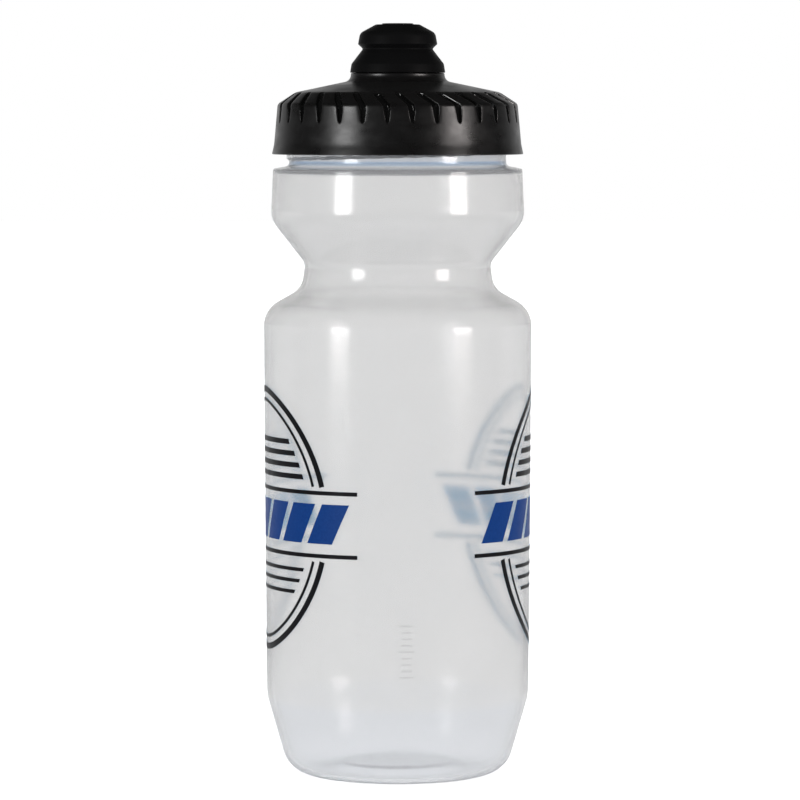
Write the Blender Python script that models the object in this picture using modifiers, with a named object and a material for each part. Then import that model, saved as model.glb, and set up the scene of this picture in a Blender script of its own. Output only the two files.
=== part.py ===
"""Bicycle water bottle: a squeeze bottle, a screw lid and a push-pull nozzle with a slit valve.

Constants and outlines are in millimetres and are turned into metres where meshes are made.
An outline lists (radius, height) corners, or (radius, height, fillet) where the corner is round,
and runs down the outer side of its piece. The bottle stands on z = 0, heights on the lid start at
its bottom edge, and heights on the nozzle start at the bottom of its skirt.
"""

import math

import bmesh
import bpy
from mathutils import Matrix, Vector

MM = 0.001
GAP = 0.3
LARGE_FACETS = 36
SMALL_FACETS = 24
ARC_STEP = math.radians(24)
MERGE = 0.00005

# Bottle
BODY_RADIUS = 36.9
BODY_FOOT_RADIUS = 36.2
WAIST_RADIUS = 25.6
BULGE_RADIUS = 34.9
BULGE_TOP_RADIUS = 34.3
NECK_RADIUS = 29.85
LEDGE_Z = 167.0
RIM_Z = 181.9
BOTTLE_WALL = 1.3
FOOT_OUTER = 29.9
FOOT_INNER = 19.5
PUSH_UP = 2.2

# Screw thread, right-handed
THREAD_PITCH = 5.0
THREAD_BASE = 2.4
THREAD_CREST = 1.0
THREAD_DEPTH = 1.1
THREAD_ROOTED = 0.3
THREAD_FADE = 4
NECK_THREAD_Z = 170.3
NECK_THREAD_DEG = 170.0
NECK_THREAD_TURNS = 1.5
LID_THREAD_DROP = 1.9
LID_THREAD_DEG = 130.0
LID_THREAD_TURNS = 1.25

# Lid
LID_Z = 170.8
LID_RADIUS = 34.8
LID_BORE = 31.3
LID_SEAT_Z = 13.2
SHOULDER_RADIUS = 33.0
SHOULDER_Z = 14.1
DOME_RADIUS = 27.45
DOME_Z = 17.6
COLLAR_RADIUS = 12.9
COLLAR_Z = 22.6
COLLAR_ROOT_Z = 20.83
SHAFT_RADIUS = 6.0
SHAFT_BORE = 4.5
SHAFT_TOP = 31.5
BEAD_RADIUS = 6.5
BEAD_Z = 28.8
SEAL_GROOVE_Z = 29.6
SEAL_GROOVE_RADIUS = 5.4
GROOVES = 31
GROOVE_DEG = -5.2

# Nozzle
NOZZLE_Z = 193.6
SLEEVE_RADIUS = 8.3
SLEEVE_BORE = 6.9
SPOUT_BORE = 3.2
SOCKET_BORE = 4.7
SOCKET_RADIUS = 5.9
SOCKET_FLOOR = 10.1
SOCKET_TOP = 12.0
NOZZLE_TOP = 13.1
LIP_TOP = -0.1

# Slit valve
VALVE_Z = 10.4
VALVE_THICKNESS = 0.8
VALVE_RADIUS = 4.4
VALVE_WINDOW = 2.6
PETALS = 4
PETAL_THICKNESS = 0.5
PETAL_ROOT = 1.95
SLIT = 0.16


def clear_scene():
    for obj in list(bpy.data.objects):
        bpy.data.objects.remove(obj, do_unlink=True)


def new_collection(name):
    group = bpy.data.collections.new(name)
    bpy.context.scene.collection.children.link(group)
    return group


def make_look(name, colour, roughness, alpha=1.0):
    look = bpy.data.materials.new(name)
    look.use_nodes = True
    shader = look.node_tree.nodes["Principled BSDF"]
    shader.inputs["Base Color"].default_value = (*colour, 1.0)
    shader.inputs["Roughness"].default_value = roughness
    shader.inputs["Metallic"].default_value = 0.0
    shader.inputs["Alpha"].default_value = alpha
    return look


def rounded(corners):
    """Points of an outline, with every fillet drawn as an arc."""
    points = []
    for index, (radius, height, *fillet) in enumerate(corners):
        here = Vector((radius, height))
        if not fillet:
            points.append(here)
            continue
        before = (Vector(corners[index - 1][:2]) - here).normalized()
        after = (Vector(corners[(index + 1) % len(corners)][:2]) - here).normalized()
        half = before.angle(after) / 2
        centre = here + (before + after).normalized() * fillet[0] / math.sin(half)
        start = here + before * fillet[0] / math.tan(half) - centre
        sweep = math.copysign(math.pi - 2 * half, after.cross(before))
        steps = max(2, round(abs(sweep) / ARC_STEP))
        for step in range(steps + 1):
            points.append(centre + Matrix.Rotation(sweep * step / steps, 2) @ start)
    return points


def add_object(name, data, look, group, parent=None):
    obj = bpy.data.objects.new(name, data)
    obj.data.materials.append(look)
    obj.parent = parent
    group.objects.link(obj)
    return obj


def add_axis(name, height, group, parent=None):
    """Empty on the bottle's axis, which carries the pieces that move together."""
    axis = bpy.data.objects.new(name, None)
    axis.empty_display_size = 10 * MM
    axis.location.z = height * MM
    axis.parent = parent
    group.objects.link(axis)
    return axis


def turned(name, corners, look, group, parent=None, facets=LARGE_FACETS, is_loop=True):
    """Piece turned round the Z axis. An outline that isn't a loop ends on the axis."""
    points = rounded(corners)
    last = len(points) - 1
    edges = [(i, i + 1) for i in range(last)]
    if is_loop:
        edges.append((last, 0))
    mesh = bpy.data.meshes.new(name)
    mesh.from_pydata([(r * MM, 0.0, z * MM) for r, z in points], edges, [])
    obj = add_object(name, mesh, look, group, parent)
    screw = obj.modifiers.new("turn", "SCREW")
    screw.steps = facets
    screw.render_steps = facets
    screw.use_merge_vertices = True
    screw.merge_threshold = MERGE
    screw.use_smooth_shade = True
    return obj


def loft(sections, bm):
    """Closed solid through sections with the same number of corners."""
    rings = [[bm.verts.new(Vector(corner) * MM) for corner in section] for section in sections]
    for ring, following in zip(rings, rings[1:]):
        for i in range(len(ring)):
            j = (i + 1) % len(ring)
            bm.faces.new((ring[i], ring[j], following[j], following[i]))
    bm.faces.new(reversed(rings[0]))
    bm.faces.new(rings[-1])


def finish_mesh(bm, name):
    bmesh.ops.recalc_face_normals(bm, faces=bm.faces)
    mesh = bpy.data.meshes.new(name)
    bm.to_mesh(mesh)
    bm.free()
    return mesh


def combine(target, tool, operation):
    """Boolean of target with tool, which is hidden and only drawn as wires."""
    tool.hide_render = True
    tool.display_type = "WIRE"
    boolean = target.modifiers.new(tool.name, "BOOLEAN")
    boolean.object = tool
    boolean.operation = operation


def on_circle(radius, angle, height):
    return (radius * math.cos(angle), radius * math.sin(angle), height)


def make_thread(name, wall, inward, low, start, turns, look, tools, parent=None):
    """Ridge on a right-hand helix. It is rooted in the wall and sinks into it at both ends."""
    side = -1 if inward else 1
    count = round(turns * LARGE_FACETS)
    sections = []
    for i in range(count + 1):
        angle = start + math.tau * i / LARGE_FACETS
        middle = low + THREAD_PITCH * i / LARGE_FACETS
        fade = min(1.0, i / THREAD_FADE, (count - i) / THREAD_FADE)
        rise = THREAD_DEPTH * fade - THREAD_ROOTED / 2 * (1 - fade)
        root = wall - side * THREAD_ROOTED
        crest = wall + side * rise
        sections.append([
            on_circle(root, angle, middle - THREAD_BASE / 2),
            on_circle(crest, angle, middle - THREAD_CREST / 2),
            on_circle(crest, angle, middle + THREAD_CREST / 2),
            on_circle(root, angle, middle + THREAD_BASE / 2),
        ])
    bm = bmesh.new()
    loft(sections, bm)
    return add_object(name, finish_mesh(bm, name), look, tools, parent)


def make_bottle(group, tools, look):
    """Blow-moulded shell, open at the neck, with the neck's thread."""
    outline = [
        (NECK_RADIUS, RIM_Z),
        (NECK_RADIUS, LEDGE_Z + GAP),
        (BULGE_TOP_RADIUS, LEDGE_Z, 0.8),
        (BULGE_RADIUS, 153.1, 7.3),
        (WAIST_RADIUS, 141.1, 7.5),
        (WAIST_RADIUS, 135.0, 6.6),
        (BODY_RADIUS, 127.3, 8.0),
        (BODY_FOOT_RADIUS, 21.7, 14.0),
        (FOOT_OUTER, 0.0, 8.3),
        (FOOT_INNER, 0.0),
        (FOOT_INNER - 4.0, PUSH_UP),
        (0.0, PUSH_UP),
    ]
    bottle = turned("bottle_body", outline, look, group, is_loop=False)
    shell = bottle.modifiers.new("wall", "SOLIDIFY")
    shell.thickness = BOTTLE_WALL * MM
    shell.offset = -1.0
    shell.use_even_offset = True
    thread = make_thread("neck_thread", NECK_RADIUS, False, NECK_THREAD_Z,
                         math.radians(NECK_THREAD_DEG), NECK_THREAD_TURNS, look, tools)
    combine(bottle, thread, "UNION")


def groove_section(turn, radius, height, half_width, depth, tilt):
    """Corners of a groove's cutter where its middle meets the lid's surface."""
    normal = Vector((math.cos(tilt), math.sin(tilt)))
    proud = 0.8
    corners = []
    for off, side in ((proud, -1), (proud, 1), (-depth, 1), (-depth, -1)):
        at = Vector((radius, height)) + normal * off
        corners.append(on_circle(at.x, turn + side * half_width / radius, at.y))
    return corners


def make_grooves(look, tools, parent):
    """Grip grooves: up the skirt, over the shoulder, and swept round towards the dome."""
    bm = bmesh.new()
    for index in range(GROOVES):
        base = math.radians(270.0 + GROOVE_DEG + 360.0 / GROOVES * index)
        path = [
            (0.5, 33.55, 8.9, 0.35, 0.1, 0.0),
            (0.2, 33.35, 11.4, 0.75, 0.9, 0.0),
            (0.0, 32.95, 14.0, 1.0, 1.2, 30.0),
            (-3.2, 30.9, 15.45, 0.8, 1.0, 58.0),
            (-7.3, 28.4, 17.0, 0.45, 0.1, 65.0),
        ]
        sections = [
            groove_section(base + math.radians(turn), radius, height, half_width, depth,
                           math.radians(tilt))
            for turn, radius, height, half_width, depth, tilt in path
        ]
        loft(sections, bm)
    return add_object("grooves", finish_mesh(bm, "grooves"), look, tools, parent)


def make_lid(group, tools, look, axis):
    """Screw lid with its grip grooves, its dome, and the hollow shaft that the nozzle slides on."""
    recess = SLEEVE_RADIUS + 0.5
    outline = [
        (SHAFT_RADIUS, SHAFT_TOP),
        (SHAFT_RADIUS, SHAFT_TOP - 0.5),
        (SEAL_GROOVE_RADIUS, SHAFT_TOP - 0.5),
        (SEAL_GROOVE_RADIUS, SEAL_GROOVE_Z),
        (BEAD_RADIUS, SEAL_GROOVE_Z),
        (BEAD_RADIUS, BEAD_Z),
        (SHAFT_RADIUS, BEAD_Z),
        (SHAFT_RADIUS, COLLAR_Z - 1.2),
        (recess, COLLAR_Z - 1.2),
        (recess, COLLAR_Z),
        (COLLAR_RADIUS, COLLAR_Z, 1.0),
        (COLLAR_RADIUS, COLLAR_ROOT_Z, 1.4),
        (DOME_RADIUS, DOME_Z, 3.0),
        (SHOULDER_RADIUS, SHOULDER_Z, 1.5),
        (LID_RADIUS - 0.7, 3.0),
        (LID_RADIUS, 0.0),
        (LID_BORE + 0.6, 0.0),
        (LID_BORE, 0.6),
        (LID_BORE, 10.0),
        (LID_BORE - 0.6, 11.2),
        (LID_BORE - 0.6, LID_SEAT_Z),
        (26.2, LID_SEAT_Z),
        (26.2, LID_SEAT_Z - 1.4),
        (25.3, LID_SEAT_Z - 1.4),
        (25.3, 16.0),
        (9.5, 19.5),
        (SHAFT_BORE, 19.5),
        (SHAFT_BORE, SHAFT_TOP),
    ]
    lid = turned("lid_shell", outline, look, group, axis)
    turn = LID_THREAD_DEG - NECK_THREAD_DEG + 360.0
    low = NECK_THREAD_Z - LID_Z - LID_THREAD_DROP + THREAD_PITCH * turn / 360.0
    thread = make_thread("lid_thread", LID_BORE, True, low, math.radians(LID_THREAD_DEG),
                         LID_THREAD_TURNS, look, tools, axis)
    combine(lid, thread, "UNION")
    combine(lid, make_grooves(look, tools, axis), "DIFFERENCE")


def make_gasket(group, look, axis):
    """Flat ring between the neck's rim and the lid's seat."""
    low = RIM_Z + GAP - LID_Z
    high = LID_SEAT_Z - GAP
    outline = [
        (30.3, high),
        (30.3, low),
        (26.6, low),
        (26.6, high),
    ]
    turned("lid_gasket", outline, look, group, axis)


def make_plug(group, tools, look, axis):
    """Pin on three ribs in the shaft's bore. Its head closes the spout when the nozzle is down."""
    ring_low = 20.0
    ring_high = 24.0
    ring_radius = SHAFT_BORE - GAP
    head = SPOUT_BORE - GAP
    stem = 1.5
    pin = [
        (0.0, 32.7),
        (head, 32.7, 0.6),
        (head, 30.2),
        (stem, 28.8),
        (stem, ring_low - 0.6),
        (0.0, ring_low - 0.6),
    ]
    plug = turned("spout_plug", pin, look, group, axis, SMALL_FACETS, is_loop=False)
    ring = [
        (ring_radius, ring_high),
        (ring_radius, ring_low),
        (ring_radius - 0.9, ring_low),
        (ring_radius - 0.9, ring_high),
    ]
    combine(plug, turned("plug_ring", ring, look, tools, axis, SMALL_FACETS), "UNION")
    reach = ring_radius - 0.4
    for index in range(3):
        bm = bmesh.new()
        bmesh.ops.create_cube(bm, size=1.0)
        bmesh.ops.scale(bm, verts=bm.verts, vec=(reach * MM, MM, (ring_high - ring_low - 0.6) * MM))
        middle = Vector((reach / 2, 0.0, (ring_high + ring_low) / 2)) * MM
        bmesh.ops.translate(bm, verts=bm.verts, vec=middle)
        rib = add_object(f"plug_rib_{index + 1}", finish_mesh(bm, "plug_rib"), look, tools, axis)
        rib.rotation_euler.z = math.radians(120 * index + 7.5)
        combine(plug, rib, "UNION")


def make_o_ring(group, look, axis):
    """Seal between the shaft and the nozzle's sleeve."""
    wire = 0.5
    bm = bmesh.new()
    bmesh.ops.create_circle(bm, cap_ends=False, segments=10, radius=wire * MM)
    upright = Matrix.Rotation(math.radians(90), 4, "X")
    middle = Vector((SEAL_GROOVE_RADIUS + 0.2 + wire, 0.0, SEAL_GROOVE_Z + 0.2 + wire)) * MM
    bmesh.ops.transform(bm, matrix=Matrix.Translation(middle) @ upright, verts=bm.verts)
    mesh = bpy.data.meshes.new("spout_o_ring")
    bm.to_mesh(mesh)
    bm.free()
    seal = add_object("spout_o_ring", mesh, look, group, axis)
    screw = seal.modifiers.new("turn", "SCREW")
    screw.steps = SMALL_FACETS
    screw.render_steps = SMALL_FACETS
    screw.use_merge_vertices = True
    screw.merge_threshold = MERGE
    screw.use_smooth_shade = True


def make_core(group, look, axis):
    """Rigid core of the nozzle: sleeve on the shaft, spout hole, and the socket of the valve."""
    outline = [
        (SOCKET_RADIUS, SOCKET_TOP),
        (SOCKET_RADIUS, SOCKET_FLOOR),
        (SLEEVE_RADIUS, SOCKET_FLOOR),
        (SLEEVE_RADIUS, 1.3),
        (11.8, 1.3),
        (11.8, 0.1),
        (SLEEVE_RADIUS, 0.1),
        (SLEEVE_RADIUS, LIP_TOP - 1.0),
        (SHAFT_RADIUS + 0.25, LIP_TOP - 1.0),
        (SHAFT_RADIUS + 0.25, LIP_TOP),
        (SLEEVE_BORE, LIP_TOP),
        (SLEEVE_BORE, SOCKET_FLOOR - 1.0),
        (SPOUT_BORE, SOCKET_FLOOR - 1.0),
        (SPOUT_BORE, SOCKET_FLOOR),
        (SOCKET_BORE, SOCKET_FLOOR),
        (SOCKET_BORE, SOCKET_TOP),
    ]
    turned("nozzle_core", outline, look, group, axis, SMALL_FACETS)


def make_grip(group, look, axis):
    """Soft overmould: a mushroom head, a pinched waist and a flared skirt."""
    outline = [
        (6.0, NOZZLE_TOP, 1.0),
        (10.35, 10.75, 2.0),
        (10.9, 7.7, 0.35),
        (9.55, 6.4, 0.4),
        (12.7, 2.3, 1.2),
        (13.1, 0.0),
        (11.8 + GAP, 0.0),
        (11.8 + GAP, 1.3 + GAP),
        (SLEEVE_RADIUS + GAP, 1.3 + GAP),
        (SLEEVE_RADIUS + GAP, SOCKET_FLOOR + GAP),
        (SOCKET_RADIUS + GAP, SOCKET_FLOOR + GAP),
        (SOCKET_RADIUS + GAP, SOCKET_TOP + GAP),
        (SOCKET_BORE + 0.05, SOCKET_TOP + GAP),
        (SOCKET_BORE + 0.05, NOZZLE_TOP),
    ]
    turned("nozzle_grip", outline, look, group, axis, LARGE_FACETS)


def make_valve(group, tools, look, axis):
    """Valve flange with a square window, and the four petals that close it."""
    middle = VALVE_Z + VALVE_THICKNESS / 2
    flange = [
        (0.0, VALVE_Z + VALVE_THICKNESS),
        (VALVE_RADIUS, VALVE_Z + VALVE_THICKNESS),
        (VALVE_RADIUS, VALVE_Z),
        (0.0, VALVE_Z),
    ]
    ring = turned("valve_ring", flange, look, group, axis, SMALL_FACETS, is_loop=False)
    bm = bmesh.new()
    bmesh.ops.create_cube(bm, size=2 * VALVE_WINDOW * MM)
    window = add_object("valve_window", finish_mesh(bm, "valve_window"), look, tools, axis)
    window.location.z = middle * MM
    combine(ring, window, "DIFFERENCE")
    hinge = VALVE_WINDOW - GAP
    for index in range(PETALS):
        angle = math.tau * index / PETALS
        pivot = add_axis(f"petal_hinge_{index + 1}", middle, group, axis)
        pivot.location.xy = Vector((math.cos(angle), math.sin(angle))) * hinge * MM
        pivot.rotation_euler.z = angle
        make_petal(f"valve_petal_{index + 1}", hinge, look, group, pivot)


def make_petal(name, reach, look, group, pivot):
    """Flat petal, a quarter of a square with trimmed corners. Its hinge is its pivot's Y axis."""
    trim = reach - SLIT - PETAL_ROOT
    corners = [
        (0.0, PETAL_ROOT),
        (-trim, PETAL_ROOT),
        (SLIT - reach, 0.0),
        (-trim, -PETAL_ROOT),
        (0.0, -PETAL_ROOT),
    ]
    curve = bpy.data.curves.new(name, "CURVE")
    curve.dimensions = "2D"
    curve.fill_mode = "BOTH"
    curve.extrude = PETAL_THICKNESS / 2 * MM
    spline = curve.splines.new("POLY")
    spline.points.add(len(corners) - 1)
    for point, (x, y) in zip(spline.points, corners):
        point.co = (x * MM, y * MM, 0.0, 1.0)
    spline.use_cyclic_u = True
    add_object(name, curve, look, group, pivot)


def make_retainer(group, look, axis):
    """Snap ring over the valve. Its rim stands just proud of the grip round the mouth."""
    low = VALVE_Z + VALVE_THICKNESS + GAP
    high = NOZZLE_TOP + 0.3
    outline = [
        (VALVE_RADIUS, high, 0.3),
        (VALVE_RADIUS, low),
        (3.3, low),
        (3.3, high, 0.3),
    ]
    turned("valve_retainer", outline, look, group, axis, SMALL_FACETS)


def main():
    clear_scene()
    group = new_collection("water_bottle")
    tools = new_collection("tools")
    clear_plastic = make_look("clear_plastic", (0.80, 0.82, 0.84), 0.35, 0.55)
    lid_plastic = make_look("lid_plastic", (0.020, 0.019, 0.019), 0.38)
    soft_grip = make_look("soft_grip", (0.013, 0.013, 0.014), 0.55)
    core_plastic = make_look("core_plastic", (0.020, 0.020, 0.021), 0.35)
    ring_plastic = make_look("ring_plastic", (0.022, 0.022, 0.024), 0.30)
    plug_plastic = make_look("plug_plastic", (0.025, 0.025, 0.026), 0.35)
    gasket_rubber = make_look("gasket_rubber", (0.65, 0.66, 0.66), 0.50)
    seal_rubber = make_look("seal_rubber", (0.018, 0.018, 0.018), 0.45)
    valve_silicone = make_look("valve_silicone", (0.70, 0.72, 0.74), 0.40, 0.80)

    make_bottle(group, tools, clear_plastic)
    lid_axis = add_axis("lid_axis", LID_Z, group)
    make_lid(group, tools, lid_plastic, lid_axis)
    make_gasket(group, gasket_rubber, lid_axis)
    make_plug(group, tools, plug_plastic, lid_axis)
    make_o_ring(group, seal_rubber, lid_axis)
    nozzle_axis = add_axis("nozzle_axis", NOZZLE_Z - LID_Z, group, lid_axis)
    make_core(group, core_plastic, nozzle_axis)
    make_grip(group, soft_grip, nozzle_axis)
    make_valve(group, tools, valve_silicone, nozzle_axis)
    make_retainer(group, ring_plastic, nozzle_axis)


main()
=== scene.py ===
"""Looks of the water bottle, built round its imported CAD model.

+Z is up, and -Y is the front. The bottle's lengths are in millimetres and are turned into metres where
its meshes are made. Materials, the floor, the lights and the camera use metres.
An outline lists (radius, height) corners, or (radius, height, fillet) where the corner is round,
and runs down the outer side of its piece. Heights on the lid start at its bottom edge, and heights
on the nozzle at the bottom of its skirt.
"""

import math

import bmesh
import bpy
import numpy as np
from mathutils import Matrix, Vector


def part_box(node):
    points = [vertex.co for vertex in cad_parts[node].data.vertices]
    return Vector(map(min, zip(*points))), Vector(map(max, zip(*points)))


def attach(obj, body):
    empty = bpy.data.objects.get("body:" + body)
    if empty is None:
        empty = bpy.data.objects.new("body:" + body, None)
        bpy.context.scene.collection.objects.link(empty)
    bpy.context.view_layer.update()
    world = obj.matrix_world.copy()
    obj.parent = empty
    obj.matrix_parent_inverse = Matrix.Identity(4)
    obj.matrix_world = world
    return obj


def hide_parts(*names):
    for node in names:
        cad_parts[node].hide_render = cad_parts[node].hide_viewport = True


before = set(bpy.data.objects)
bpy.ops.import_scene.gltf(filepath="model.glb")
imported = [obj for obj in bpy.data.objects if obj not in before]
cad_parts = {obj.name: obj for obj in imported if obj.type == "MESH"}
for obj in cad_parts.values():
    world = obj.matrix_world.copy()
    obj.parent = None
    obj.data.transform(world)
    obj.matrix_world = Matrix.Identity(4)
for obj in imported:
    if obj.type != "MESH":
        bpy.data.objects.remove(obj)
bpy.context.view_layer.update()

MM = 0.001
ARC_STEP = math.radians(6)

# How finely outlines are cut, in mm, and how close together points are welded, in metres
WALL_STEP = 2.0
GROOVE_STEP = 0.16
THREAD_STEP = 0.14
WELD = 2e-7

RIM_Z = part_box("bottle_body")[1].z / MM
LID_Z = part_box("lid_shell")[0].z / MM
NOZZLE_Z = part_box("nozzle_grip")[0].z / MM

# Bottle
BODY_RADIUS = 36.9
BODY_TOP_Z = 124.8
BODY_FOOT_RADIUS = 36.2
BODY_FOOT_Z = 23.2
WAIST_RADIUS = 25.5
NECK_RADIUS = 29.85
LEDGE_Z = 167.0
WALL = 1.3
PUSH_UP = 2.2
FOOT_INNER = 19.5

# Screw thread. Its base and its crest are half widths, and its fade is a share of a turn.
# Each thread is the height and the azimuth in degrees of its low end, and its number of turns.
# The lid's thread lies THREAD_DROP below the neck's.
PITCH = 5.0
THREAD_DEPTH = 1.1
THREAD_BASE = 1.2
THREAD_CREST = 0.5
THREAD_FADE = 0.08
THREAD_DROP = 1.9
NECK_THREAD = (170.3, 170.0, 1.5)
LID_THREAD_DEG = 130.0
LID_THREAD_LEAD = (LID_THREAD_DEG - NECK_THREAD[1]) % 360.0
LID_THREAD = (NECK_THREAD[0] - LID_Z - THREAD_DROP + PITCH * LID_THREAD_LEAD / 360.0, LID_THREAD_DEG, 1.25)

# Lid
LID_BORE = 31.3
LID_FOOT = 0.3
SEAT_Z = 13.2
SEAT_RADIUS = 26.2
CEILING_Z = 19.5
CEILING_RADIUS = 25.3
SHAFT_RADIUS = 6.0
SHAFT_BORE = 4.5
SHAFT_TOP = 31.5
COLLAR_Z = 22.6
COLLAR_RADIUS = 12.9
COLLAR_DEPTH = 1.2

# Gasket, and the O-ring in its groove on the shaft
GASKET_INNER = 26.6
GASKET_OUTER = 30.3
SEAL_FLOOR_RADIUS = 5.4
SEAL_LIP_RADIUS = 6.5
SEAL_LIP = (28.8, 29.6)
O_RING_Z = 30.3
O_RING_RADIUS = 6.1
O_RING_CORD = 0.5

# Plug in the shaft, which closes the nozzle
PLUG_TOP = 32.7
PLUG_FOOT = 19.4
PIN_RADIUS = 1.5
PLUG_RING = (20.0, 24.0)
PLUG_RING_WALL = 0.9
RIBS = 3
RIB_DEG = 7.5
RIB_WIDTH = 1.0
RIB_HEIGHT = 3.4

# Nozzle
SLEEVE_RADIUS = 8.3
SLEEVE_BORE = 6.9
SPOUT_BORE = 3.2
SOCKET_BORE = 4.7
SOCKET_RADIUS = 5.9
SOCKET_FLOOR = 10.1
SOCKET_TOP = 12.0
NOZZLE_TOP = 13.1
SKIRT_RADIUS = 11.8
SKIRT_Z = 1.3
GAP = 0.3

# Moulded scale. The section is how thick and how tall a tick is.
TICKS = 9
TICK_LOW = 30.5
TICK_STEP = 1.75
TICK_WIDTH = 2.8
LONG_TICK_WIDTH = 4.0
LONG_TICK_EVERY = 4
TICK_SECTION = (0.4, 0.5)
TICK_DEG = 3.8


# ---------------------------------------------------------------- outlines and meshes


def rounded(corners):
    """Points of an outline, with every fillet drawn as an arc."""
    points = []
    for index, (radius, height, *fillet) in enumerate(corners):
        here = Vector((radius, height))
        if not fillet or fillet[0] <= 0:
            points.append(here)
            continue
        before = (Vector(corners[index - 1][:2]) - here).normalized()
        after = (Vector(corners[(index + 1) % len(corners)][:2]) - here).normalized()
        half = before.angle(after) / 2
        centre = here + (before + after).normalized() * fillet[0] / math.sin(half)
        start = here + before * fillet[0] / math.tan(half) - centre
        sweep = math.copysign(math.pi - 2 * half, after.cross(before))
        steps = max(3, round(abs(sweep) / ARC_STEP))
        for step in range(steps + 1):
            points.append(centre + Matrix.Rotation(sweep * step / steps, 2) @ start)
    return np.array([tuple(p) for p in points])


def refined(points, spacing, chosen):
    """The outline with its stretches that chosen(middle) picks cut into steps of spacing."""
    result = [points[0]]
    for here, there in zip(points, points[1:]):
        length = float(np.linalg.norm(there - here))
        steps = max(1, math.ceil(length / spacing)) if chosen((here + there) / 2) else 1
        for step in range(1, steps + 1):
            result.append(here + (there - here) * step / steps)
    return np.array(result)


def inner_corners(corners, wall):
    """Corners of the wall's inner face, for an outline that starts at a rim and ends on the axis."""
    result = []
    for index, (radius, height, *fillet) in enumerate(corners):
        here = Vector((radius, height))
        normals = []
        for a, b in ((index - 1, index), (index, index + 1)):
            if a >= 0 and b < len(corners):
                run = (Vector(corners[b][:2]) - Vector(corners[a][:2])).normalized()
                normals.append(Vector((run.y, -run.x)))
        if len(normals) == 1:
            shift = normals[0] * wall
            turn = 0.0
        else:
            shift = (normals[0] + normals[1]) * wall / (1 + normals[0].dot(normals[1]))
            turn = normals[0].cross(normals[1])
        at = here + shift
        size = fillet[0] if fillet else 0.0
        if fillet:
            size = max(0.5, size + (wall if turn > 0 else -wall))
        result.append((at.x, at.y, size))
    return result


def add_object(name, data):
    obj = bpy.data.objects.new(name, data)
    bpy.context.scene.collection.objects.link(obj)
    return obj


def make_mesh(name, positions, faces, look, sharp=40.0):
    """Smooth-shaded object from positions in millimetres."""
    mesh = bpy.data.meshes.new(name)
    mesh.from_pydata((positions * MM).tolist(), [], faces)
    bm = bmesh.new()
    bm.from_mesh(mesh)
    bmesh.ops.remove_doubles(bm, verts=bm.verts, dist=WELD)
    bm.to_mesh(mesh)
    bm.free()
    mesh.materials.append(look)
    mesh.shade_smooth()
    mesh.set_sharp_from_angle(angle=math.radians(sharp))
    return add_object(name, mesh)


def round_edges(obj, width, segments):
    bevel = obj.modifiers.new("edges", "BEVEL")
    bevel.width = width * MM
    bevel.segments = segments
    return bevel


def make_boxes(name, boxes, turn_deg, look):
    """Boxes listed as (size, centre) in millimetres, turned together about the bottle's axis."""
    bm = bmesh.new()
    for size, centre in boxes:
        made = bmesh.ops.create_cube(bm, size=1.0)["verts"]
        bmesh.ops.scale(bm, verts=made, vec=Vector(size) * MM)
        bmesh.ops.translate(bm, verts=made, vec=Vector(centre) * MM)
    turn = Matrix.Rotation(math.radians(turn_deg), 3, "Z")
    bmesh.ops.rotate(bm, verts=bm.verts, cent=(0, 0, 0), matrix=turn)
    mesh = bpy.data.meshes.new(name)
    bm.to_mesh(mesh)
    bm.free()
    mesh.materials.append(look)
    return add_object(name, mesh)


def grid_faces(rows, columns, is_loop):
    """Faces of a grid whose rows go all the way round. A loop's last row meets its first."""
    faces = []
    for i in range(rows if is_loop else rows - 1):
        here, below = i * columns, (i + 1) % rows * columns
        for j in range(columns):
            k = (j + 1) % columns
            faces.append((here + j, below + j, below + k, here + k))
    return faces


def lathe(name, points, look, lift=0.0, columns=144, is_loop=True, warp=None, sharp=40.0):
    """Turned piece. warp changes its grid of radii, heights and angles."""
    angles = np.arange(columns) * math.tau / columns
    radius = np.repeat(points[:, :1], columns, axis=1)
    height = np.repeat(points[:, 1:2], columns, axis=1)
    angle = np.repeat(angles[None, :], len(points), axis=0)
    if warp:
        radius, height, angle = warp(radius, height, angle)
    positions = np.stack([radius * np.cos(angle), radius * np.sin(angle), height + lift], axis=-1)
    faces = grid_faces(len(points), columns, is_loop)
    return make_mesh(name, positions.reshape(-1, 3), faces, look, sharp)


def ring_section(inner, outer, low, high, low_fillet, high_fillet):
    """Outline of a plain ring with rounded edges."""
    outside = [(outer, high, high_fillet), (outer, low, low_fillet)]
    inside = [(inner, low, low_fillet), (inner, high, high_fillet)]
    return rounded(outside + inside)


def thread_height(height, angle, thread):
    """How far a screw thread stands out of its wall at each place."""
    low, start, turns = thread
    rise = np.zeros_like(height)
    for lap in range(-1, math.ceil(turns) + 2):
        run = (angle - math.radians(start)) / math.tau + lap
        off = np.abs(height - (low + PITCH * run))
        section = np.clip((THREAD_BASE - off) / (THREAD_BASE - THREAD_CREST), 0.0, 1.0)
        fade = np.clip(np.minimum(run, turns - run) / THREAD_FADE, 0.0, 1.0)
        rise = np.maximum(rise, THREAD_DEPTH * section * np.sqrt(fade))
    return rise


# ---------------------------------------------------------------- materials

# Sockets of a mix node that mixes colours
SHARE = 0
COLOUR_A = 6
COLOUR_B = 7
MIXED = 2


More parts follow.
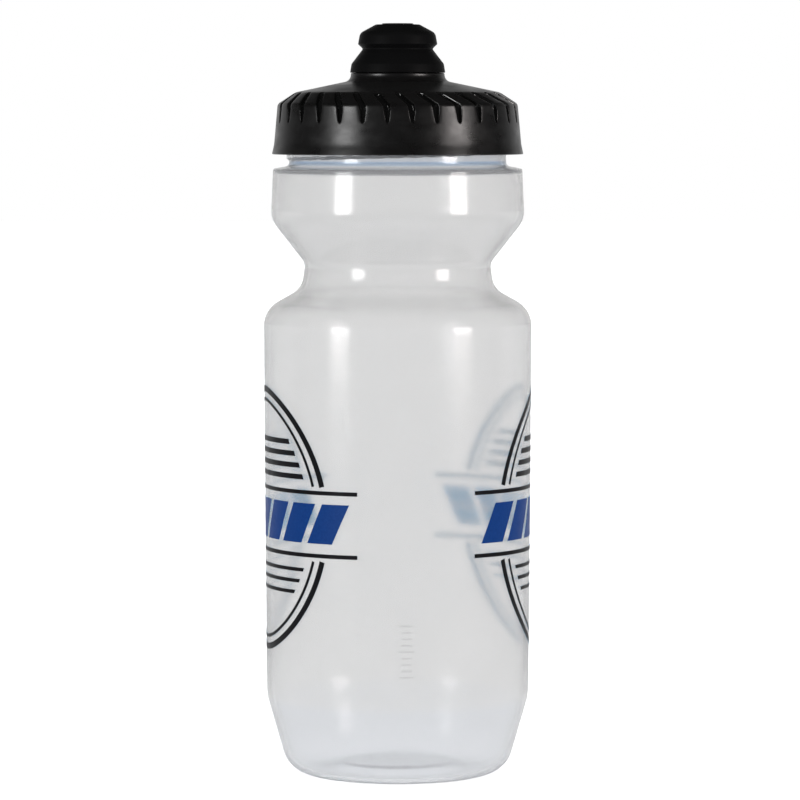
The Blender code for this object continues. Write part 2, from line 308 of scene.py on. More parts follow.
class Look:
    """A Principled material and the few nodes that give it its pattern."""

    def __init__(self, name, colour, roughness, **sockets):
        self.material = bpy.data.materials.new(name)
        self.material.use_nodes = True
        self.tree = self.material.node_tree
        self.shader = self.tree.nodes["Principled BSDF"]
        self.shader.inputs["Base Color"].default_value = (*colour, 1.0)
        self.shader.inputs["Roughness"].default_value = roughness
        self.colour = colour
        self.roughness = roughness
        self.tone = None
        for socket, value in sockets.items():
            self.shader.inputs[socket.replace("_", " ")].default_value = value

    def node(self, kind, **values):
        """Adds a node. values are its inputs' values or its settings."""
        node = self.tree.nodes.new(kind)
        for key, value in values.items():
            if key in node.inputs:
                node.inputs[key].default_value = value
            else:
                setattr(node, key, value)
        return node

    def link(self, source, target):
        self.tree.links.new(source, target)

    def noise(self, scale, detail=3.0, stretch=(1, 1, 1)):
        """Noise in the object's own coordinates."""
        place = self.node("ShaderNodeTexCoord")
        mapping = self.node("ShaderNodeMapping")
        mapping.inputs["Scale"].default_value = stretch
        noise = self.node("ShaderNodeTexNoise", Scale=scale, Detail=detail)
        self.link(place.outputs["Object"], mapping.inputs["Vector"])
        self.link(mapping.outputs["Vector"], noise.inputs["Vector"])
        return noise.outputs["Fac"]

    def combine(self, operation, source, other):
        """Math node on a source and another source or a number."""
        node = self.node("ShaderNodeMath", operation=operation)
        self.link(source, node.inputs[0])
        if isinstance(other, float):
            node.inputs[1].default_value = other
        else:
            self.link(other, node.inputs[1])
        return node.outputs[0]

    def tint_by_height(self, shares, other):
        """Mixes another colour in, by shares listed as (height in metres, share)."""
        place = self.node("ShaderNodeTexCoord")
        split = self.node("ShaderNodeSeparateXYZ")
        self.link(place.outputs["Object"], split.inputs[0])
        total = None
        for (low, before), (high, after) in zip(shares, shares[1:]):
            if before == after:
                continue
            step = self.spread(split.outputs["Z"], 0.0, after - before, low, high)
            total = self.combine("ADD", total, step) if total else step
        self.vary_colour(self.combine("ADD", total, shares[0][1]), other)

    def spread(self, source, low, high, start=0.3, end=0.7):
        """Maps a pattern's range onto low to high."""
        span = self.node("ShaderNodeMapRange")
        for key, value in zip(("From Min", "From Max", "To Min", "To Max"), (start, end, low, high)):
            span.inputs[key].default_value = value
        self.link(source, span.inputs["Value"])
        return span.outputs["Result"]

    def vary_roughness(self, source, amount):
        """Lets the roughness stray by the amount to both sides."""
        rough = self.spread(source, self.roughness - amount, self.roughness + amount)
        self.link(rough, self.shader.inputs["Roughness"])

    def vary_colour(self, source, other):
        """Mixes another colour into the plain one, or into what earlier calls made of it."""
        mix = self.node("ShaderNodeMix", data_type="RGBA", clamp_factor=False)
        mix.inputs[COLOUR_A].default_value = (*self.colour, 1.0)
        mix.inputs[COLOUR_B].default_value = (*other, 1.0)
        if self.tone:
            self.link(self.tone, mix.inputs[COLOUR_A])
        self.link(source, mix.inputs[SHARE])
        self.tone = mix.outputs[MIXED]
        self.link(self.tone, self.shader.inputs["Base Color"])

    def bump(self, *patterns):
        """Stacks (source, strength, distance) bumps."""
        last = None
        for source, strength, distance in patterns:
            bump = self.node("ShaderNodeBump", Strength=strength, Distance=distance)
            self.link(source, bump.inputs["Height"])
            if last:
                self.link(last, bump.inputs["Normal"])
            last = bump.outputs["Normal"]
        self.link(last, self.shader.inputs["Normal"])


def frosted_plastic():
    """Clear plastic, a little blue in the foot and neck, partly for the thicker plastic there and partly as
    painted light: the bluer light those curves pass, and the lid's shade on the neck. A darker blue band in
    the neck's fillet is painted shade from the lid above.
    """
    look = Look("bottle_plastic", (0.985, 0.985, 0.985), 0.13, Transmission_Weight=0.86, IOR=1.45,
                Specular_IOR_Level=0.4)
    look.vary_roughness(look.noise(60.0), 0.015)
    # Foot and neck are bluer, for their thicker plastic and as painted light for the bluish light and the
    # lid's shade there
    foot_and_neck_thickness_and_shade = ((0.0, 1.0), (0.0200, 1.0), (0.0225, 0.0), (0.1655, 0.0), (0.1675, 1.0))
    # Painted shade: a darker blue band in the neck's fillet, where the lid above shades it and is mirrored in
    # it
    fillet = ((0.1679, 0.0), (0.1683, 1.0), (0.1691, 1.0), (0.1695, 0.0))
    look.tint_by_height(foot_and_neck_thickness_and_shade, (0.966, 0.977, 0.996))
    look.tint_by_height(fillet, (0.66, 0.78, 0.93))
    look.bump((look.noise(45.0, 1.0, (1, 1, 0.5)), 0.05, 0.0003))
    return look.material


def tick_plastic():
    look = Look("tick_plastic", (0.96, 0.96, 0.965), 0.10, Transmission_Weight=0.88, IOR=1.45)
    look.vary_roughness(look.noise(200.0), 0.02)
    return look.material


def lid_plastic():
    look = Look("lid_plastic", (0.002, 0.0018, 0.0018), 0.32, Specular_IOR_Level=0.66)
    look.vary_roughness(look.noise(160.0, 3.0, (1, 1, 2.0)), 0.06)
    look.bump((look.noise(2500.0, 2.0), 0.12, 0.00005))
    return look.material


def groove_plastic():
    look = Look("lid_groove", (0.003, 0.003, 0.003), 0.11, Specular_IOR_Level=0.7)
    look.vary_roughness(look.noise(300.0), 0.02)
    return look.material


def grip_rubber():
    look = Look("grip_rubber", (0.004, 0.004, 0.0042), 0.50, Specular_IOR_Level=0.07)
    look.vary_roughness(look.noise(240.0), 0.06)
    look.bump((look.noise(3000.0, 2.0), 0.15, 0.00005))
    return look.material


def plain_plastic(name, colour, roughness):
    look = Look(name, colour, roughness)
    look.vary_roughness(look.noise(250.0), 0.04)
    look.bump((look.noise(2000.0, 2.0), 0.08, 0.00005))
    return look.material


def silicone():
    look = Look("valve_silicone", (0.86, 0.88, 0.90), 0.30, Transmission_Weight=0.6, IOR=1.41)
    look.vary_roughness(look.noise(400.0), 0.04)
    return look.material


def ink(name, colour):
    look = Look(name, colour, 0.35, Specular_IOR_Level=0.08)
    look.vary_roughness(look.noise(500.0), 0.05)
    paler = tuple(channel * 1.15 + 0.001 for channel in colour)
    look.vary_colour(look.spread(look.noise(1500.0, 3.0), 0.0, 1.0), paler)
    return look.material


# ---------------------------------------------------------------- bottle


def bottle_corners():
    return [
        (NECK_RADIUS, RIM_Z, 0.35),
        (NECK_RADIUS, LEDGE_Z + 0.9, 1.3),
        (34.3, LEDGE_Z + 0.1, 0.6),
        (34.9, 153.1, 7.3),
        (WAIST_RADIUS, 141.1, 3.5),
        (WAIST_RADIUS + 1.0, 134.2, 6.0),
        (35.95, 128.9, 7.6),
        (BODY_RADIUS, BODY_TOP_Z, 1.5),
        (BODY_FOOT_RADIUS, BODY_FOOT_Z, 1.5),
        (36.03, 21.1, 12.0),
        (29.9, 0.0, 8.3),
        (FOOT_INNER, 0.0, 1.0),
        (FOOT_INNER - 4.0, PUSH_UP, 3.0),
        (0.0, PUSH_UP),
    ]


def make_bottle(look):
    """Blow-moulded shell with its neck thread."""
    outer = bottle_corners()
    inner = inner_corners(outer, WALL)
    points = rounded(inner[::-1] + outer)

    def on_neck(at):
        return at[0] > NECK_RADIUS - 0.4 and at[1] > LEDGE_Z

    points = refined(points, WALL_STEP, lambda at: not on_neck(at))
    points = refined(points, THREAD_STEP, on_neck)

    def with_thread(radius, height, angle):
        rise = thread_height(height, angle, NECK_THREAD)
        return radius + np.where(radius > NECK_RADIUS - 0.01, rise, 0.0), height, angle

    bottle = lathe("bottle_shell", points, look, columns=216, is_loop=False, warp=with_thread)
    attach(bottle, "bottle")
    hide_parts("bottle_body")


def make_scale(look):
    """Moulded ladder of graduation ticks, low on the front."""
    depth, tall = TICK_SECTION
    boxes = []
    for index in range(TICKS):
        width = LONG_TICK_WIDTH if index % LONG_TICK_EVERY == 0 else TICK_WIDTH
        height = TICK_LOW + index * TICK_STEP
        boxes.append(((width, depth, tall), (0.0, -body_radius(height), height)))
    ticks = make_boxes("moulded_scale", boxes, TICK_DEG, look)
    ticks.data.shade_smooth()
    round_edges(ticks, 0.12, 4)
    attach(ticks, "bottle")


def body_radius(height):
    """Outer radius of the bottle's side between its foot and its shoulder."""
    share = (height - BODY_FOOT_Z) / (BODY_TOP_Z - BODY_FOOT_Z)
    return BODY_FOOT_RADIUS + (BODY_RADIUS - BODY_FOOT_RADIUS) * share


def wrap(name, patches, look, low, high):
    """Thin layer on the bottle's side, from low to high above the wall.

    Each patch is a grid of (azimuth in degrees from the front, height) points.
    """
    positions = []
    faces = []
    for patch in patches:
        rows, columns = patch.shape[:2]
        angle = np.radians(patch[..., 0] - 90.0)
        wall = body_radius(patch[..., 1])
        base = len(positions)
        for off in (high, low):
            radius = wall + off
            layer = np.stack([radius * np.cos(angle), radius * np.sin(angle), patch[..., 1]], axis=-1)
            positions.extend(layer.reshape(-1, 3).tolist())
        count = rows * columns
        for i in range(rows - 1):
            for j in range(columns - 1):
                quad = [base + i * columns + j, base + i * columns + j + 1]
                quad += [quad[1] + columns, quad[0] + columns]
                faces.append(tuple(quad))
                faces.append(tuple(count + corner for corner in reversed(quad)))
        rim = list(range(columns)) + [i * columns + columns - 1 for i in range(1, rows)]
        rim += [(rows - 1) * columns + j for j in range(columns - 2, -1, -1)]
        rim += [i * columns for i in range(rows - 2, 0, -1)]
        for here, there in zip(rim, rim[1:] + rim[:1]):
            faces.append((base + there, base + here, base + here + count, base + there + count))
    layer = make_mesh(name, np.array(positions), faces, look, 30.0)
    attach(layer, "bottle")


# ---------------------------------------------------------------- lid

# Grip grooves. Each course lists (way up the outline from the tip in mm, value). The turn is in degrees,
# and the width is half of the groove's.
GROOVES = 31
GROOVE_DEG = -5.2
GROOVE_TOP_RADIUS = 26.0
TIP_Z = 8.9
GROOVE_TURN = ((-6.0, 0.6), (0.0, 0.5), (3.6, 0.2), (4.6, -0.1), (5.6, -0.8), (10.6, -6.6), (13.0, -7.5),
               (26.0, 0.0))
GROOVE_WIDTH = ((0.0, 0.30), (0.6, 0.45), (3.0, 0.78), (5.3, 1.00), (8.0, 1.02), (10.2, 0.92), (11.1, 0.55))
GROOVE_DEPTH = ((-0.05, 0.0), (0.7, 0.75), (3.0, 1.05), (5.3, 1.30), (8.0, 1.20), (10.2, 0.85), (11.1, 0.0))

# The columns of the lid's grid between two grooves, and the columns of a groove that are glossy where
# it is deep enough
LAND_COLUMNS = 5
GLOSSY_COLUMNS = range(2, 12)
GLOSSY_DEPTH = 0.25


def lid_corners():
    shoulder = SHAFT_TOP - 0.5
    lip_low, lip_high = SEAL_LIP
    recess = SLEEVE_RADIUS + 0.5
    recess_floor = COLLAR_Z - COLLAR_DEPTH
    seat_foot = SEAT_Z - 1.4
    return [
        (SHAFT_RADIUS, SHAFT_TOP, 0.15),
        (SHAFT_RADIUS, shoulder),
        (SEAL_FLOOR_RADIUS, shoulder),
        (SEAL_FLOOR_RADIUS, lip_high),
        (SEAL_LIP_RADIUS, lip_high, 0.15),
        (SEAL_LIP_RADIUS, lip_low, 0.15),
        (SHAFT_RADIUS, lip_low),
        (SHAFT_RADIUS, recess_floor),
        (recess, recess_floor),
        (recess, COLLAR_Z, 0.2),
        (COLLAR_RADIUS, COLLAR_Z, 0.35),
        (COLLAR_RADIUS, 20.5, 2.0),
        (28.1, 17.3, 4.5),
        (33.0, 14.1, 1.5),
        (34.0, 3.0, 12.0),
        (34.6, LID_FOOT, 0.25),
        (LID_BORE + 0.6, LID_FOOT, 0.2),
        (LID_BORE, LID_FOOT + 0.6),
        (LID_BORE, 10.0),
        (LID_BORE - 0.6, 11.2),
        (LID_BORE - 0.6, SEAT_Z, 0.3),
        (SEAT_RADIUS, SEAT_Z),
        (SEAT_RADIUS, seat_foot, 0.2),
        (CEILING_RADIUS, seat_foot, 0.2),
        (CEILING_RADIUS, 16.0, 0.8),
        (9.5, CEILING_Z, 1.0),
        (SHAFT_BORE, CEILING_Z, 0.3),
        (SHAFT_BORE, SHAFT_TOP, 0.15),
    ]


def on_bore(radius):
    return np.abs(radius - LID_BORE) < 0.05


def lid_outline():
    """The lid's outline, cut finely where its grooves and its thread are."""

    def grooved(at):
        on_side = at[0] > LID_BORE - 0.4 and at[1] > TIP_Z - 0.6
        on_dome = at[0] > 26.9 and at[1] > 14.0
        return on_side or on_dome

    def threaded(at):
        return on_bore(at[0]) and at[1] < 10.1

    points = refined(rounded(lid_corners()), GROOVE_STEP, grooved)
    return refined(points, THREAD_STEP, threaded)


def groove_columns():
    """(side, share of the groove's half width, offset in mm, share of its depth) for each column."""
    lip = [(1.0, 0.34, 0.0), (1.0, 0.16, 0.03), (1.0, 0.04, 0.14), (0.96, 0.0, 0.42),
           (0.90, 0.0, 0.68), (0.72, 0.0, 0.87), (0.42, 0.0, 0.97)]
    left = [(-1, share, off, depth) for share, off, depth in lip]
    right = [(1, share, off, depth) for share, off, depth in reversed(lip)]
    return left + [(0, 0.0, 0.0, 1.0)] + right


def groove_course(points):
    """For each point of the outline: is it outside, and the groove's turn, half width and depth there."""
    steps = np.linalg.norm(np.diff(points, axis=0), axis=1)
    along = np.concatenate([[0.0], np.cumsum(steps)])
    outside = np.arange(len(points)) <= np.argmax(points[:, 0])
    tip = np.argmin(np.abs(points[:, 1] - TIP_Z) + np.where(outside, 0.0, 99.0))
    way = along[tip] - along
    turn = np.where(outside, np.radians(np.interp(way, *zip(*GROOVE_TURN))), 0.0)
    width = np.interp(way, *zip(*GROOVE_WIDTH))
    depth = np.where(outside, np.interp(way, *zip(*GROOVE_DEPTH)), 0.0)
    return outside, turn, width, depth


def groove_period(points, width, depth):
    """Angles and depths of the columns of one groove and the land after it, for each point of the outline."""
    profile = groove_columns()
    count = len(profile) + LAND_COLUMNS
    safe = np.maximum(points[:, 0], GROOVE_TOP_RADIUS)
    offset = np.zeros((len(points), count))
    sink = np.zeros((len(points), count))
    for j, (side, share, off, deep) in enumerate(profile):
        offset[:, j] = side * (share * width + off) / safe
        sink[:, j] = depth * deep
    first, last = offset[:, 0], offset[:, len(profile) - 1]
    for j in range(LAND_COLUMNS):
        share = (j + 1) / (LAND_COLUMNS + 1)
        offset[:, len(profile) + j] = last + (math.tau / GROOVES + first - last) * share
    return offset, sink


def make_lid(look, groove_look):
    """Screw lid. Its grip grooves, its thread and its seat are in the mesh."""
    points = lid_outline()
    outside, turn, width, depth = groove_course(points)
    offset, sink = groove_period(points, width, depth)
    run = np.gradient(points, axis=0)
    run /= np.linalg.norm(run, axis=1, keepdims=True)
    inward = np.stack([run[:, 1], -run[:, 0]], axis=1)

    count = offset.shape[1]
    columns = count * GROOVES
    radius = np.zeros((len(points), columns))
    height = np.zeros_like(radius)
    angle = np.zeros_like(radius)
    for groove in range(GROOVES):
        base = math.radians(270.0 + GROOVE_DEG) + math.tau / GROOVES * groove
        here = slice(groove * count, (groove + 1) * count)
        angle[:, here] = base + turn[:, None] + offset
        radius[:, here] = points[:, :1] + inward[:, :1] * sink
        height[:, here] = points[:, 1:2] + inward[:, 1:2] * sink
    inside = ~outside & on_bore(points[:, 0])
    rise = thread_height(height, angle, LID_THREAD)
    radius = np.where(inside[:, None], radius - rise, radius)
    positions = np.stack([radius * np.cos(angle), radius * np.sin(angle), height + LID_Z], axis=-1)
    faces = grid_faces(len(points), columns, True)
    lid = make_mesh("lid_cap", positions.reshape(-1, 3), faces, look, 35.0)
    lid.data.materials.append(groove_look)
    for face, polygon in enumerate(lid.data.polygons):
        row, column = divmod(face, columns)
        if depth[row] > GLOSSY_DEPTH and column % count in GLOSSY_COLUMNS:
            polygon.material_index = 1
    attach(lid, "lid")
    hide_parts("lid_shell")


def make_gasket(look):
    section = ring_section(GASKET_INNER, GASKET_OUTER, RIM_Z + GAP, LID_Z + SEAT_Z - GAP, 0.4, 0.4)
    gasket = lathe("gasket_ring", section, look)
    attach(gasket, "gasket")
    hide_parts("lid_gasket")


def make_plug(look):
    """Pin, ring and three ribs."""
    head = SPOUT_BORE - GAP
    pin = rounded([
        (0.0, PLUG_TOP), (head, PLUG_TOP, 0.6), (head, 30.2, 0.4),
        (PIN_RADIUS, 28.8, 0.8), (PIN_RADIUS, PLUG_FOOT, 0.4), (0.0, PLUG_FOOT),
    ])
    ring_radius = SHAFT_BORE - GAP
    ring = ring_section(ring_radius - PLUG_RING_WALL, ring_radius, *PLUG_RING, 0.25, 0.25)
    pieces = [
        lathe("plug_pin", pin, look, LID_Z, 64, is_loop=False),
        lathe("plug_ring", ring, look, LID_Z, 64),
    ]
    reach = ring_radius - 0.6
    rib_box = ((reach, RIB_WIDTH, RIB_HEIGHT), (reach / 2 + 0.2, 0.0, sum(PLUG_RING) / 2 + LID_Z))
    for index in range(RIBS):
        rib = make_boxes(f"plug_rib_{index + 1}", [rib_box], 360 / RIBS * index + RIB_DEG, look)
        round_edges(rib, 0.2, 3)
        pieces.append(rib)
    for piece in pieces:
        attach(piece, "lid")
    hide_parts("spout_plug")


def make_o_ring(look):
    turn = np.linspace(0.0, math.tau, 24, endpoint=False)
    radius = O_RING_RADIUS + O_RING_CORD * np.cos(turn)
    height = O_RING_Z - O_RING_CORD * np.sin(turn)
    ring = lathe("o_ring", np.stack([radius, height], axis=1), look, LID_Z, 96)
    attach(ring, "spout_seal")
    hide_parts("spout_o_ring")


# ---------------------------------------------------------------- nozzle


def make_core(look):
    """Sleeve with its skirt, its seal and the socket for the valve."""
    seal = SHAFT_RADIUS + 0.25
    corners = [
        (SOCKET_RADIUS, SOCKET_TOP, 0.2),
        (SOCKET_RADIUS, SOCKET_FLOOR),
        (SLEEVE_RADIUS, SOCKET_FLOOR, 0.2),
        (SLEEVE_RADIUS, SKIRT_Z),
        (SKIRT_RADIUS, SKIRT_Z, 0.2),
        (SKIRT_RADIUS, 0.1, 0.2),
        (SLEEVE_RADIUS, 0.1),
        (SLEEVE_RADIUS, -1.1, 0.2),
        (seal, -1.1, 0.15),
        (seal, -0.1, 0.1),
        (SLEEVE_BORE, -0.1),
        (SLEEVE_BORE, SOCKET_FLOOR - 1.0, 0.3),
        (SPOUT_BORE, SOCKET_FLOOR - 1.0, 0.2),
        (SPOUT_BORE, SOCKET_FLOOR, 0.2),
        (SOCKET_BORE, SOCKET_FLOOR),
        (SOCKET_BORE, SOCKET_TOP, 0.15),
    ]
    core = lathe("nozzle_sleeve", rounded(corners), look, NOZZLE_Z, 96)
    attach(core, "nozzle")
    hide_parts("nozzle_core")


def make_grip(look):
    """Rubber over the sleeve, with its lining a gap away from it."""
    foot = -0.13
    mouth = SOCKET_BORE + 0.05
    corners = [
        (6.0, NOZZLE_TOP, 1.0),
        (10.35, 10.75, 2.0),
        (10.9, 7.7, 0.4),
        (9.55, 6.4, 0.45),
        (12.7, 2.3, 1.2),
        (13.1, foot, 0.2),
        (SKIRT_RADIUS + GAP, foot, 0.1),
        (SKIRT_RADIUS + GAP, SKIRT_Z + GAP),
        (SLEEVE_RADIUS + GAP, SKIRT_Z + GAP),
        (SLEEVE_RADIUS + GAP, SOCKET_FLOOR + GAP),
        (SOCKET_RADIUS + GAP, SOCKET_FLOOR + GAP),
        (SOCKET_RADIUS + GAP, SOCKET_TOP + GAP),
        (mouth, SOCKET_TOP + GAP),
        (mouth, NOZZLE_TOP, 0.2),
    ]
    grip = lathe("grip_overmould", rounded(corners), look, NOZZLE_Z, 160, sharp=30.0)
    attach(grip, "nozzle")
    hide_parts("nozzle_grip")


def make_retainer(look):
    ring = lathe("mouth_ring", ring_section(3.3, 4.4, 11.5, 13.4, 0.1, 0.35), look, NOZZLE_Z, 96)
    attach(ring, "nozzle")
    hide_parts("valve_retainer")


def dress_valve(look):
    """The valve's own solids have their right shape, so they only get rounded edges and a finish."""
    for name in ("valve_ring", *(f"valve_petal_{petal}" for petal in range(1, 5))):
        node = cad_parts[name]
        node.data.materials.clear()
        node.data.materials.append(look)
        round_edges(node, 0.06, 2).limit_method = "ANGLE"


# ---------------------------------------------------------------- print

# Layers above the wall, as (low, high) in mm
INK = (0.03, 0.06)
PRINT_BACK_LAYER = (0.01, 0.026)

# The middles and half width of the prints are in degrees round the bottle, and their other sizes in mm.
PRINT_CENTRES = (-81.3, 98.7)
PRINT_HALF = 64.0
PRINT_RADIUS = 36.6
MM_PER_DEGREE = PRINT_RADIUS * math.radians(1.0)
LINE_POINTS = 90
RULES = (80.0, 62.9)
RULE_THICKNESS = 1.1

# Ovals are (half width, half height, thickness). Stripes are (height, thickness, how far their ends slope).
OVALS = ((31.5, 35.5, 1.7), (28.6, 32.6, 0.9))
STRIPE_OVAL = (26.0, 29.5)
STRIPE_STEP = 3.1
STRIPES = tuple((RULES[0] + 3.4 + STRIPE_STEP * i, 1.4, 0.5) for i in range(4)) + tuple(
    (RULES[1] - 4.6 - STRIPE_STEP * i, 1.0, -0.5) for i in range(3))

# Slanted bars between the rules
BARS = 7
BAR_STEP = 10.6
BAR_WIDTH = 8.3
BAR_SLANT = 2.6
BAR_LOW = RULES[1] + 3.3
BAR_HIGH = RULES[0] - 3.0


def ribbon(path, thickness):
    """Patch along a line of (arc length, height) points that runs from left to right."""
    run = np.gradient(path, axis=0)
    run /= np.linalg.norm(run, axis=1, keepdims=True)
    side = np.stack([-run[:, 1], run[:, 0]], axis=1) * thickness / 2
    return np.stack([path - side, path + side])


def panel(corners, across):
    """Patch with four (arc length, height) corners: low left, low right, high right and high left."""
    a, b, c, d = np.array(corners, float)
    share = np.linspace(0.0, 1.0, across + 1)[:, None]
    low = a + (b - a) * share
    high = d + (c - d) * share
    return np.stack([low, low * 0.5 + high * 0.5, high])


def oval(half_wide, half_high, middle, low):
    """Top of an oval's outline, down to the height low, as (arc length, height) points."""
    start = math.asin((low - middle) / half_high)
    angles = np.linspace(math.pi - start, start, LINE_POINTS)
    return np.stack([half_wide * np.cos(angles), middle + half_high * np.sin(angles)], axis=1)


def black_patches():
    """Rules, ovals and stripes of one print, with arc lengths from its middle."""
    half = PRINT_HALF * MM_PER_DEGREE
    middle = sum(RULES) / 2
    patches = []
    for height in RULES:
        rule = np.stack([np.linspace(-half, half, LINE_POINTS), np.full(LINE_POINTS, height)], axis=1)
        patches.append(ribbon(rule, RULE_THICKNESS))
    for wide, high, thickness in OVALS:
        upper = oval(wide, high, middle, RULES[0] + 1.6)
        lower = upper * (1, -1) + (0, 2 * middle)
        patches += [ribbon(upper, thickness), ribbon(lower, thickness)]
    wide, high = STRIPE_OVAL
    for height, thickness, slope in STRIPES:
        reach = wide * math.sqrt(1 - ((height - middle) / high) ** 2)
        over = reach - slope
        top = height + thickness
        patches.append(panel(((-reach, height), (reach, height), (over, top), (-over, top)), 40))
    return patches


def blue_patches():
    """Slanted bars of one print, with arc lengths from its middle."""
    patches = []
    for index in range(BARS):
        at = (index - (BARS - 1) / 2) * BAR_STEP
        low, high = at - BAR_SLANT, at + BAR_SLANT
        corners = ((low - BAR_WIDTH / 2, BAR_LOW), (low + BAR_WIDTH / 2, BAR_LOW),
                   (high + BAR_WIDTH / 2, BAR_HIGH), (high - BAR_WIDTH / 2, BAR_HIGH))
        patches.append(panel(corners, 8))
    return patches


def make_prints(black_ink, blue_ink, black_back_look, blue_back_look):
    """Two prints on opposite sides. Under each ink lies a layer that shows from inside. It is paler than its
    ink and blue, which is painted light for the bluish light the frosted wall scatters onto the backs of the
    prints.
    """
    tones = (("black", black_patches(), black_ink, black_back_look), ("blue", blue_patches(), blue_ink, blue_back_look))
    for side, centre in zip(("left", "right"), PRINT_CENTRES):
        for tone, patches, top, base in tones:
            placed = [patch * (1 / MM_PER_DEGREE, 1) + (centre, 0) for patch in patches]
            wrap(f"print_{side}_{tone}", placed, top, *INK)
            wrap(f"print_{side}_{tone}_base", placed, base, *PRINT_BACK_LAYER)


# ---------------------------------------------------------------- set

# Brightness of the backdrop as it is seen, as it is seen through the bottle, as it lights the bottle,
# and as the bottle mirrors it in the dark front and in the bright back of the room
SEEN = (1.0, 1.0, 1.0)
THROUGH = (0.735, 0.735, 0.735)
LIT = (0.74, 0.74, 0.74)
MIRRORED_FRONT = 0.02
MIRRORED_BACK = 0.66
FLOOR_GREY = (0.8, 0.8, 0.8)
BLACK = (0.0, 0.0, 0.0)


def by_ray(tree, choices):
    """Colour by kind of ray. choices start with the plain one, and the last that fits wins."""
    path = tree.nodes.new("ShaderNodeLightPath")
    last = choices[0][1]
    for ray, colour in choices[1:]:
        mix = tree.nodes.new("ShaderNodeMix")
        mix.data_type = "RGBA"
        tree.links.new(path.outputs[ray], mix.inputs[SHARE])
        for socket, value in ((mix.inputs[COLOUR_A], last), (mix.inputs[COLOUR_B], colour)):
            if isinstance(value, tuple):
                socket.default_value = (*value, 1.0)
            else:
                tree.links.new(value, socket)
        last = mix.outputs[MIXED]
    return last


def set_world():
    """White backdrop. It lights the bottle less than it shows, and the room in front of it is dark."""
    world = bpy.data.worlds.new("studio")
    world.use_nodes = True
    bpy.context.scene.world = world
    tree = world.node_tree
    back = tree.nodes["Background"]
    place = tree.nodes.new("ShaderNodeTexCoord")
    split = tree.nodes.new("ShaderNodeSeparateXYZ")
    tree.links.new(place.outputs["Generated"], split.inputs[0])
    to_back = (0.45, 1.0, 0.0, 1.0)
    by_height = (0.25, 0.5, MIRRORED_BACK, MIRRORED_FRONT)
    ramps = []
    for axis, limits in (("Y", to_back), ("Z", by_height)):
        ramp = tree.nodes.new("ShaderNodeMapRange")
        ramp.interpolation_type = "SMOOTHSTEP"
        for key, value in zip(("From Min", "From Max", "To Min", "To Max"), limits):
            ramp.inputs[key].default_value = value
        tree.links.new(split.outputs[axis], ramp.inputs["Value"])
        ramps.append(ramp.outputs["Result"])
    mirrored = tree.nodes.new("ShaderNodeMix")
    mirrored.inputs["A"].default_value = MIRRORED_FRONT
    tree.links.new(ramps[0], mirrored.inputs["Factor"])
    tree.links.new(ramps[1], mirrored.inputs["B"])
    colour = by_ray(tree, [("", SEEN), ("Is Diffuse Ray", LIT), ("Is Glossy Ray", mirrored.outputs["Result"]),
                           ("Is Transmission Ray", THROUGH)])
    tree.links.new(colour, back.inputs["Color"])


def make_floor():
    """White floor that glows like the backdrop.

    What it mirrors and how it glows change with the distance from the bottle, or behind it, in metres.
    """
    bpy.ops.mesh.primitive_grid_add(size=12.0, x_subdivisions=2, y_subdivisions=2)
    floor = bpy.context.object
    floor.name = "floor"
    floor.location.z = -0.0002
    look = Look("floor_white", FLOOR_GREY, 0.9, Specular_IOR_Level=0.0, Emission_Strength=1.0)
    place = look.node("ShaderNodeTexCoord")
    split = look.node("ShaderNodeSeparateXYZ")
    look.link(place.outputs["Object"], split.inputs[0])
    reach = look.node("ShaderNodeVectorMath", operation="LENGTH")
    look.link(place.outputs["Object"], reach.inputs[0])
    near = look.spread(reach.outputs["Value"], 1.0, 0.15, start=0.15, end=0.45)
    behind = look.spread(split.outputs["Y"], 0.15, 0.8, start=0.1, end=0.5)
    under = look.spread(reach.outputs["Value"], 0.88, THROUGH[0], start=0.04, end=0.12)
    mirrored = look.combine("MAXIMUM", near, behind)
    tone = by_ray(look.tree, [("", FLOOR_GREY), ("Is Glossy Ray", mirrored), ("Is Transmission Ray", BLACK)])
    look.link(tone, look.shader.inputs["Base Color"])
    glow = by_ray(look.tree, [("", FLOOR_GREY), ("Is Diffuse Ray", (0.10, 0.14, 0.20)),
                              ("Is Glossy Ray", (0.05, 0.06, 0.07)), ("Is Transmission Ray", under)])
    look.link(glow, look.shader.inputs["Emission Color"])
    floor.data.materials.append(look.material)


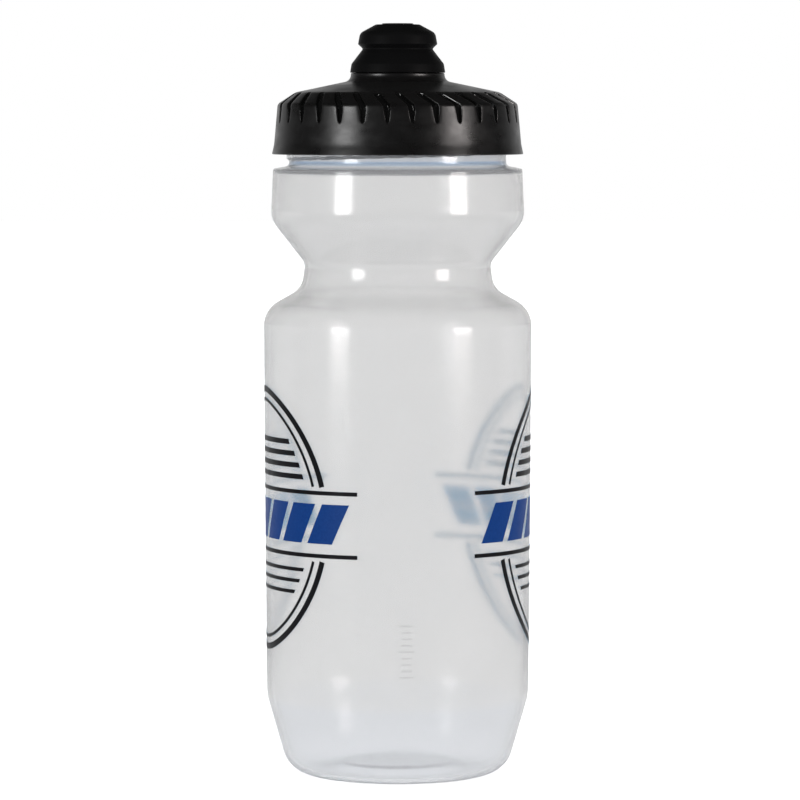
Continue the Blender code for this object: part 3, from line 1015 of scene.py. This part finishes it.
def add_softbox(name, azimuth, distance, low, width, height, power, colour=(1, 1, 1)):
    """Upright softbox that faces the bottle. azimuth is in degrees from the front, positive to the right."""
    light = bpy.data.lights.new(name, "AREA")
    light.shape = "RECTANGLE"
    light.size = width
    light.size_y = height
    light.energy = power
    light.color = colour
    lamp = add_object(name, light)
    angle = math.radians(azimuth - 90.0)
    lamp.location = (distance * math.cos(angle), distance * math.sin(angle), low + height / 2)
    lamp.rotation_euler = (math.radians(90), 0, angle + math.radians(90))


def add_camera():
    data = bpy.data.cameras.new("camera")
    data.lens = 212.3
    data.sensor_width = 36.0
    data.shift_x = 0.0029
    data.shift_y = 0.0019
    data.clip_end = 50.0
    camera = add_object("camera", data)
    camera.location = (0.0, -1.300, 0.1854)
    aim = Vector((0.0, 0.0, 0.1029)) - camera.location
    camera.rotation_euler = aim.to_track_quat("-Z", "Y").to_euler()
    bpy.context.scene.camera = camera


def main():
    add_camera()
    set_world()
    make_floor()
    add_softbox("softbox_left", -50.0, distance=0.9, low=0.08, width=0.25, height=0.29, power=2.4)
    add_softbox("softbox_right", 57.0, distance=0.9, low=0.08, width=0.26, height=0.29, power=2.55,
                colour=(1.0, 0.94, 0.92))
    scene = bpy.context.scene
    scene.view_settings.view_transform = "Standard"
    scene.cycles.max_bounces = 24
    scene.cycles.transmission_bounces = 24
    scene.cycles.glossy_bounces = 12
    scene.cycles.diffuse_bounces = 6

    make_bottle(frosted_plastic())
    make_scale(tick_plastic())
    # The layers under the inks are blue and paler than the inks: painted light for the bluish light scattered
    # onto the prints' backs
    make_prints(ink("ink_black", (0.005, 0.005, 0.006)), ink("ink_blue", (0.003, 0.034, 0.165)),
                ink("black_print_back_painted_light", (0.0, 0.30, 0.55)), ink("blue_print_back_painted_light", (0.0, 0.46, 0.86)))
    make_lid(lid_plastic(), groove_plastic())
    make_gasket(plain_plastic("gasket_foam", (0.66, 0.67, 0.67), 0.55))
    make_plug(plain_plastic("plug_plastic", (0.02, 0.02, 0.021), 0.35))
    make_o_ring(plain_plastic("seal_rubber", (0.015, 0.015, 0.015), 0.42))
    make_core(plain_plastic("core_plastic", (0.02, 0.02, 0.021), 0.34))
    make_grip(grip_rubber())
    make_retainer(plain_plastic("retainer_plastic", (0.02, 0.02, 0.022), 0.30))
    dress_valve(silicone())


main()
